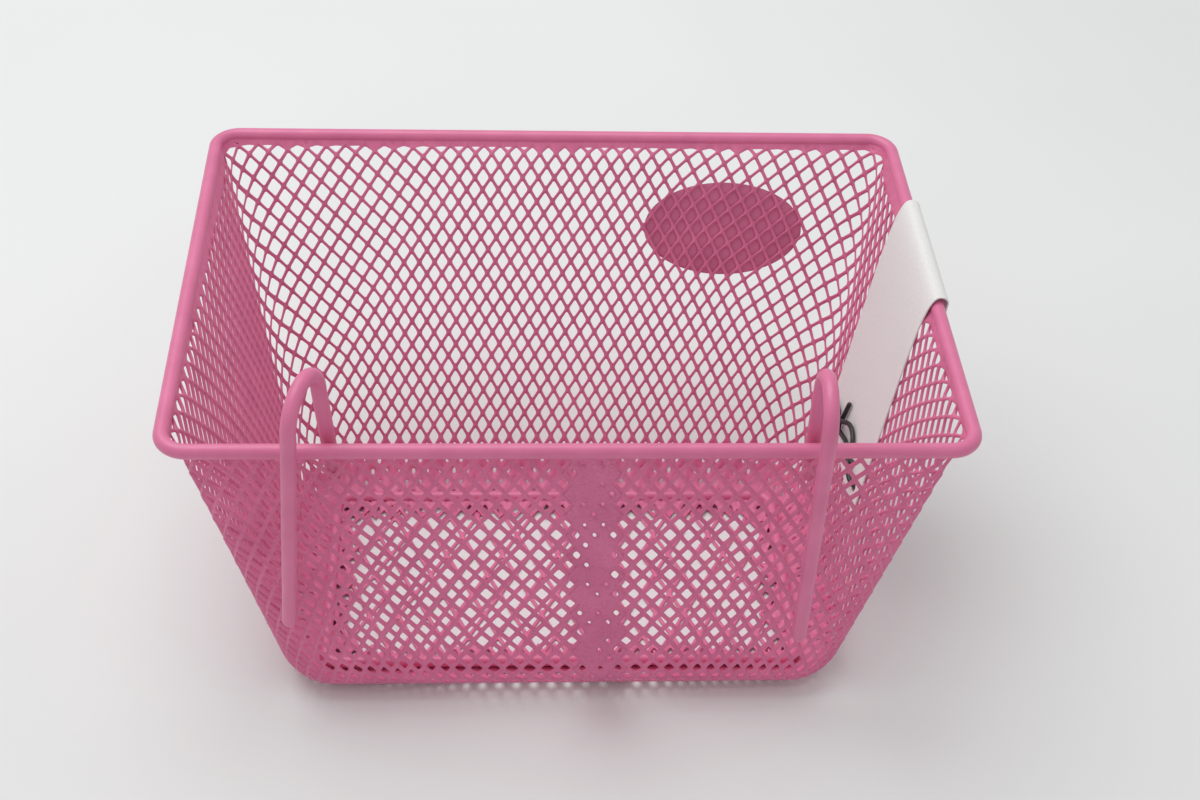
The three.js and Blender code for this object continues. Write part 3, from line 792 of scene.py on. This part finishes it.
def tube(path, radius, sides=ROD_SIDES, closed=False):
    """Points and faces of a round rod along a path, closed into a ring or with rounded ends."""
    count = len(path)
    tangents = []
    for k in range(count):
        before = path[k - 1] if closed or k else path[0]
        after = path[(k + 1) % count] if closed or k < count - 1 else path[k]
        tangents.append((after - before).normalized())
    upright = abs(tangents[0].z) > 0.9
    start = Vector((1, 0, 0)) if upright else Vector((0, 0, 1))
    across = (start - tangents[0] * start.dot(tangents[0])).normalized()
    stations = []
    for k in range(count):
        if k:
            across = tangents[k - 1].rotation_difference(tangents[k]) @ across
        stations.append((path[k], tangents[k], across.copy(), radius))
    if not closed:
        caps = [math.pi / 2 * k / CAP_STEPS for k in range(1, CAP_STEPS)]
        first, last = stations[0], stations[-1]
        head = [
            (first[0] - first[1] * radius * math.sin(a), first[1], first[2], radius * math.cos(a))
            for a in reversed(caps)
        ]
        tail = [
            (last[0] + last[1] * radius * math.sin(a), last[1], last[2], radius * math.cos(a))
            for a in caps
        ]
        stations = head + stations + tail
    points = []
    for centre, tangent, out, size in stations:
        other = tangent.cross(out)
        for s in range(sides):
            angle = 2 * math.pi * s / sides
            points.append(centre + out * size * math.cos(angle) + other * size * math.sin(angle))
    faces = []
    rings = len(stations)
    for k in range(rings if closed else rings - 1):
        here = k * sides
        there = (k + 1) % rings * sides
        for s in range(sides):
            t = (s + 1) % sides
            faces.append((here + s, here + t, there + t, there + s))
    if not closed:
        points.append(path[0] - tangents[0] * radius)
        points.append(path[-1] + tangents[-1] * radius)
        top = (rings - 1) * sides
        for s in range(sides):
            t = (s + 1) % sides
            faces.append((len(points) - 2, t, s))
            faces.append((len(points) - 1, top + s, top + t))
    return points, faces


def ring_path(arcs, z):
    """Rounded outline in plan, from the middles and the half sizes of its four corner arcs."""
    path = []
    for k, (x, y, radius_x, radius_y) in enumerate(arcs):
        for t in range(BEND_STEPS + 1):
            angle = (k + t / BEND_STEPS) * math.pi / 2
            path.append(Vector((x + radius_x * math.cos(angle), y + radius_y * math.sin(angle), z)))
    return path


def rim():
    x = RIM_WIDTH / 2 - RIM_CORNER_RADIUS
    y = RIM_DEPTH / 2 - RIM_CORNER_RADIUS
    bends = (RIM_CORNER_RADIUS, RIM_CORNER_RADIUS)
    arcs = [(cx, cy, *bends) for cx, cy in [(x, y), (-x, y), (-x, -y), (x, -y)]]
    points, faces = tube(ring_path(arcs, RIM_HEIGHT), RIM_ROD_DIAMETER / 2, closed=True)
    add_piece("rim", points, faces, rod_coat, "coating", ["rim_rod"])


def floor_ring():
    x = float(side.corner_at(1.0))
    bend_x = side_edge - RING_INSET - x
    arcs = []
    for facing_x, section, facing_y in [(1, far, 1), (-1, far, 1), (-1, near, -1), (1, near, -1)]:
        y = float(section.corner_at(1.0))
        bend_y = float(section.at(1.0)[0]) - RING_INSET - y
        arcs.append((facing_x * x, facing_y * y, bend_x, bend_y))
    z = SHEET_SOLID + ROD_GAP + RING_ROD_DIAMETER / 2
    points, faces = tube(ring_path(arcs, z), RING_ROD_DIAMETER / 2, closed=True)
    add_piece("ring", points, faces, rod_coat, "coating", ["floor_ring"])


def hook(name, node, facing, tilt, splay, lean_out, lean_in):
    """A rod hook. Its welded leg tilts outwards, its bend is turned by the splay, and its free leg
    leans out and in. These are in degrees."""
    bend_radius = (HOOK_GAP + HOOK_ROD_DIAMETER) / 2
    tilted = facing * math.tan(math.radians(tilt))
    y = -(near_top - SHEET_SOLID - ROD_GAP - HOOK_ROD_DIAMETER / 2)
    bend_z = RIM_HEIGHT + HOOK_RISE - bend_radius
    tail_z = RIM_HEIGHT - HOOK_TAIL + HOOK_ROD_DIAMETER / 2
    bend_x = facing * HOOK_SPACING / 2 + tilted * (bend_z - RIM_HEIGHT)
    turn = math.radians(splay)
    away = Vector((facing * math.sin(turn), -math.cos(turn), 0))
    path = [Vector((bend_x - tilted * (bend_z - tail_z), y, tail_z))]
    for t in range(2 * BEND_STEPS + 1):
        angle = t / BEND_STEPS * math.pi / 2
        top = Vector((bend_x, y, bend_z + bend_radius * math.sin(angle)))
        path.append(top + away * bend_radius * (1 - math.cos(angle)))
    lean = (facing * math.tan(math.radians(lean_out)), math.tan(math.radians(lean_in)), -1)
    leg = HOOK_LEG - HOOK_ROD_DIAMETER / 2
    path.append(path[-1] + Vector(lean).normalized() * leg)
    points, faces = tube(path, HOOK_ROD_DIAMETER / 2)
    add_piece(name, points, faces, rod_coat, "coating", [node])


rim()
floor_ring()
hook("hook_left", "left_hook", -1, tilt=5, splay=18.3, lean_out=3.7, lean_in=4.3)
hook("hook_right", "right_hook", 1, tilt=0, splay=-1.8, lean_out=0, lean_in=0)


# Plate
PLATE_SIDES = 96
# Its section from the back to the face, in shares of the oval's size and of the thickness
PLATE_PROFILE = [(0.5, 0), (0.96, 0), (0.988, 0.15), (1, 0.5), (0.988, 0.85), (0.96, 1), (0.5, 1)]


def plate():
    """A flat oval with a rounded edge, on the outside of the far wall."""
    out, z = far.at(PLATE_DROP / far.length)
    across = np.array([1.0, 0, 0])
    up = np.array([0, math.sin(far.lean), math.cos(far.lean)])
    outward = np.array([0, math.cos(far.lean), -math.sin(far.lean)])
    seat = np.array([RIM_WIDTH / 2 - PLATE_FROM_SIDE, float(out), float(z)]) + outward * ROD_GAP
    turns = np.linspace(0, 2 * np.pi, PLATE_SIDES, endpoint=False)[:, None]
    ring = across * np.cos(turns) * PLATE_WIDTH / 2 + up * np.sin(turns) * PLATE_HEIGHT / 2
    rings = [seat + ring * share + outward * PLATE_THICKNESS * rise for share, rise in PLATE_PROFILE]
    points = np.concatenate(rings + [[seat], [seat + outward * PLATE_THICKNESS]])
    faces = []
    last = (len(PLATE_PROFILE) - 1) * PLATE_SIDES
    for k in range(PLATE_SIDES):
        j = (k + 1) % PLATE_SIDES
        for base in range(0, last, PLATE_SIDES):
            faces.append((base + k, base + j, base + PLATE_SIDES + j, base + PLATE_SIDES + k))
        faces.append((k, len(points) - 2, j))
        faces.append((last + j, len(points) - 1, last + k))
    add_piece("plate", points, faces, plate_coat_painted_shade, "coating", ["oval_plate"])


# Card and tie
TAG_COLUMNS = 24
TAG_ROWS = 48
LIP_ROWS = 4
OVER_ROWS = 16
ROW_EASE = 1.5  # sets the rows closer together near the rim
SHARP_CARD = math.radians(40)
PUNCH_OUT = 2  # how far a punch goes past the card on each side
PUNCH_IN = 4
HOLE_SIDES = 32
TIE_STEPS = 10
TIE_SIDES = 12
inward_right = np.array([-math.cos(side.lean), 0, math.sin(side.lean)])
down_right = np.array([-math.sin(side.lean), 0, -math.cos(side.lean)])


def on_right_wall(y, down, off):
    """A place on the right wall, off its inner face."""
    out, z = side.at(down / side.length)
    return np.array([float(out), y, float(z)]) + inward_right * (SHEET_SOLID + off)


def tag_profile():
    """The card's outer side in section, from the end of the lip outside to its end on the wall."""
    rod = np.array([RIM_WIDTH / 2, 0, RIM_HEIGHT])
    lip = [np.array([TAG_RADIUS, 0, -TAG_LIP * (1 - k / LIP_ROWS)]) for k in range(LIP_ROWS)]
    turns = np.linspace(0, np.pi / 2, OVER_ROWS, endpoint=False)
    over = [TAG_RADIUS * np.array([math.cos(t), 0, math.sin(t)]) for t in turns]
    crest = rod + [0, 0, TAG_RADIUS]
    end = on_right_wall(0, TIE_STRAND[1] + TAG_BELOW_TIE, ROD_GAP + TAG_THICKNESS)
    first = crest - [TAG_BEND, 0, 0]
    second = end - down_right * TAG_HANG
    hang = [
        crest * (1 - t) ** 3 + 3 * first * t * (1 - t) ** 2 + 3 * second * t * t * (1 - t) + end * t**3
        for t in np.linspace(0, 1, TAG_ROWS) ** ROW_EASE
    ]
    return np.array([rod + p for p in lip + over] + hang), len(lip) + len(over)


def card():
    """A plain card over the rim, with two punched holes for its tie."""
    profile, crest = tag_profile()
    slopes = np.gradient(profile, axis=0)
    normals = np.stack([slopes[:, 2], 0 * slopes[:, 2], -slopes[:, 0]], axis=-1)
    normals /= np.linalg.norm(normals, axis=-1, keepdims=True)
    steps = np.linalg.norm(np.diff(profile, axis=0), axis=-1)
    reach = np.concatenate([[0], np.cumsum(steps)])
    reach -= reach[crest]
    across = np.linspace(-0.5, 0.5, TAG_COLUMNS)
    y = TAG_Y - TAG_SKEW * reach[:, None] + TAG_WIDTH * across
    grid = np.repeat(profile[:, None], TAG_COLUMNS, axis=1)
    grid[..., 1] = y
    under = grid - normals[:, None] * TAG_THICKNESS
    points = np.concatenate([grid.reshape(-1, 3), under.reshape(-1, 3)])
    rows = len(profile)
    size = rows * TAG_COLUMNS
    index = np.arange(size).reshape(rows, TAG_COLUMNS)
    faces = []
    for r in range(rows - 1):
        for c in range(TAG_COLUMNS - 1):
            a, b, d, e = index[r, c], index[r, c + 1], index[r + 1, c + 1], index[r + 1, c]
            faces.append((a, b, d, e))
            faces.append((a + size, e + size, d + size, b + size))
    border = np.concatenate([index[0], index[1:, -1], index[-1, -2::-1], index[-2:0:-1, 0]])
    for a, b in zip(border, np.roll(border, -1)):
        faces.append((b, a, a + size, b + size))
    faces = [tuple(int(i) for i in face) for face in faces]
    piece = add_piece("card", points, faces, paper, "card", ["card_tag"])
    punch(piece, [on_right_wall(*hole, ROD_GAP) for hole in TIE_HOLES])
    piece.data.set_sharp_from_angle(angle=SHARP_CARD)


def punch(piece, places):
    """Cut round holes square to the right wall."""
    drills = []
    for place in places:
        path = [Vector(place - inward_right * PUNCH_OUT), Vector(place + inward_right * PUNCH_IN)]
        points, faces = tube(path, TIE_HOLE_DIAMETER / 2, sides=HOLE_SIDES)
        mesh = bpy.data.meshes.new("drill")
        mesh.from_pydata(to_part(points).tolist(), [], faces)
        drill = bpy.data.objects.new("drill", mesh)
        bpy.context.scene.collection.objects.link(drill)
        cut = piece.modifiers.new("hole", "BOOLEAN")
        cut.object = drill
        cut.operation = "DIFFERENCE"
        cut.solver = "EXACT"
        drills.append(drill)
    graph = bpy.context.evaluated_depsgraph_get()
    mesh = bpy.data.meshes.new_from_object(piece.evaluated_get(graph))
    piece.modifiers.clear()
    piece.data = mesh
    for drill in drills:
        bpy.data.objects.remove(drill)


def smooth_path(knots, steps):
    """A smooth curve through all the knots."""
    knots = [2 * knots[0] - knots[1], *knots, 2 * knots[-1] - knots[-2]]
    path = []
    for a, b, c, d in zip(knots, knots[1:], knots[2:], knots[3:]):
        for t in np.linspace(0, 1, steps, endpoint=False):
            bow = 2 * a - 5 * b + 4 * c - d
            twist = 3 * b - a - 3 * c + d
            path.append(Vector((2 * b + (c - a) * t + bow * t * t + twist * t**3) / 2))
    path.append(Vector(knots[-2]))
    return path


def tie():
    """A stiff covered wire, crossed on the card, with its loop through the card's holes."""
    radius = TIE_DIAMETER / 2
    on_card = ROD_GAP + TAG_THICKNESS + 2 * ROD_GAP + radius
    crossing = on_card + TIE_DIAMETER + ROD_GAP
    behind = -(SHEET_SOLID + ROD_GAP + radius)
    upper, lower = TIE_HOLES

    def place(along, up, off, start=TIE_STRAND):
        """A point by its shares of the reach and the rise, from a start."""
        return on_right_wall(start[0] + along * TIE_REACH, start[1] - up * TIE_RISE, off)

    def beside(hole):
        """A point behind the mesh, halfway from a hole to the strand."""
        return on_right_wall((hole[0] + TIE_STRAND[0]) / 2, (hole[1] + TIE_STRAND[1]) / 2, behind)

    knots = [
        place(1, 0.15, on_card),
        place(0.83, 0.23, on_card + ROD_GAP),
        place(0.66, 0.38, crossing),
        place(0.47, 0.77, on_card + ROD_GAP),
        place(0.28, 0.69, on_card),
        place(0.09, 0.08, on_card + ROD_GAP, upper),
        place(0, 0, ROD_GAP, upper),
        place(0, 0, -SHEET_SOLID, upper),
        beside(upper),
        beside(lower),
        place(0, 0, -SHEET_SOLID, lower),
        place(0, 0, ROD_GAP, lower),
        place(0.11, 0.08, on_card + ROD_GAP, lower),
        place(0.36, 0.23, on_card),
        place(0.68, -0.08, on_card),
        place(0.7, 0.46, on_card),
        place(0.7, 1, on_card),
    ]
    points, faces = tube(smooth_path(knots, TIE_STEPS), radius, sides=TIE_SIDES)
    add_piece("tie", points, faces, plastic, "tie", ["tag_tie"])


plate()
card()
tie()


# Camera, at the photograph's place, with its angles in radians
LENS = 57.0
SENSOR = 36.0
CAMERA_PLACE = (-34.28, -637.63, 622.79)
PITCH = 0.70852
YAW = 0.081405
ROLL = -0.05331


def add_camera():
    data = bpy.data.cameras.new("camera")
    data.lens = LENS
    data.sensor_width = SENSOR
    camera = bpy.data.objects.new("camera", data)
    bpy.context.scene.collection.objects.link(camera)
    ahead = Vector((
        math.sin(YAW) * math.cos(PITCH), math.cos(YAW) * math.cos(PITCH), -math.sin(PITCH)
    ))
    level = Vector((math.cos(YAW), -math.sin(YAW), 0))
    down = ahead.cross(level)
    right = level * math.cos(ROLL) + down * math.sin(ROLL)
    down = down * math.cos(ROLL) - level * math.sin(ROLL)
    turn = Matrix((right, -down, -ahead)).transposed()
    camera.matrix_world = Matrix.Translation(to_part(CAMERA_PLACE)) @ turn.to_4x4()
    bpy.context.scene.camera = camera


add_camera()


# Floor and light, in metres and watts
FLOOR_SIZE = 20.0
FLOOR_DROP = 0.0002
KEY_PLACE = (-0.45, 0.5, 1.6)
KEY_TARGET = (0, 0, 0.05)
KEY_SIZE = 1.6
KEY_POWER = 16
SKY_COLOUR = (0.96, 0.97, 0.97, 1)
SKY_STRENGTH = 0.66


def add_floor():
    material, nodes, links, shader = new_material("floor_paper")
    clouds = value_between(nodes, links, noise(nodes, links, scale=3, detail=2), 0, 1)
    colour = colour_between(nodes, links, clouds, *FLOOR_WHITES)
    links.new(colour, shader.inputs["Base Color"])
    shader.inputs["Roughness"].default_value = FLOOR_ROUGHNESS
    shader.inputs["Specular IOR Level"].default_value = FLOOR_SPECULAR
    bpy.ops.mesh.primitive_plane_add(size=FLOOR_SIZE, location=(0, 0, -FLOOR_DROP))
    floor = bpy.context.object
    floor.name = "floor"
    floor.data.materials.append(material)


def add_key_lamp():
    data = bpy.data.lights.new("key", "AREA")
    data.shape = "DISK"
    data.size = KEY_SIZE
    data.energy = KEY_POWER
    lamp = bpy.data.objects.new("key", data)
    lamp.location = KEY_PLACE
    aim = Vector(KEY_TARGET) - Vector(KEY_PLACE)
    lamp.rotation_euler = aim.to_track_quat("-Z", "Y").to_euler()
    bpy.context.scene.collection.objects.link(lamp)


def add_world():
    world = bpy.data.worlds.new("studio")
    world.use_nodes = True
    background = world.node_tree.nodes["Background"]
    background.inputs["Color"].default_value = SKY_COLOUR
    background.inputs["Strength"].default_value = SKY_STRENGTH
    bpy.context.scene.world = world


add_floor()
add_key_lamp()
add_world()
bpy.context.scene.view_settings.view_transform = "Standard"
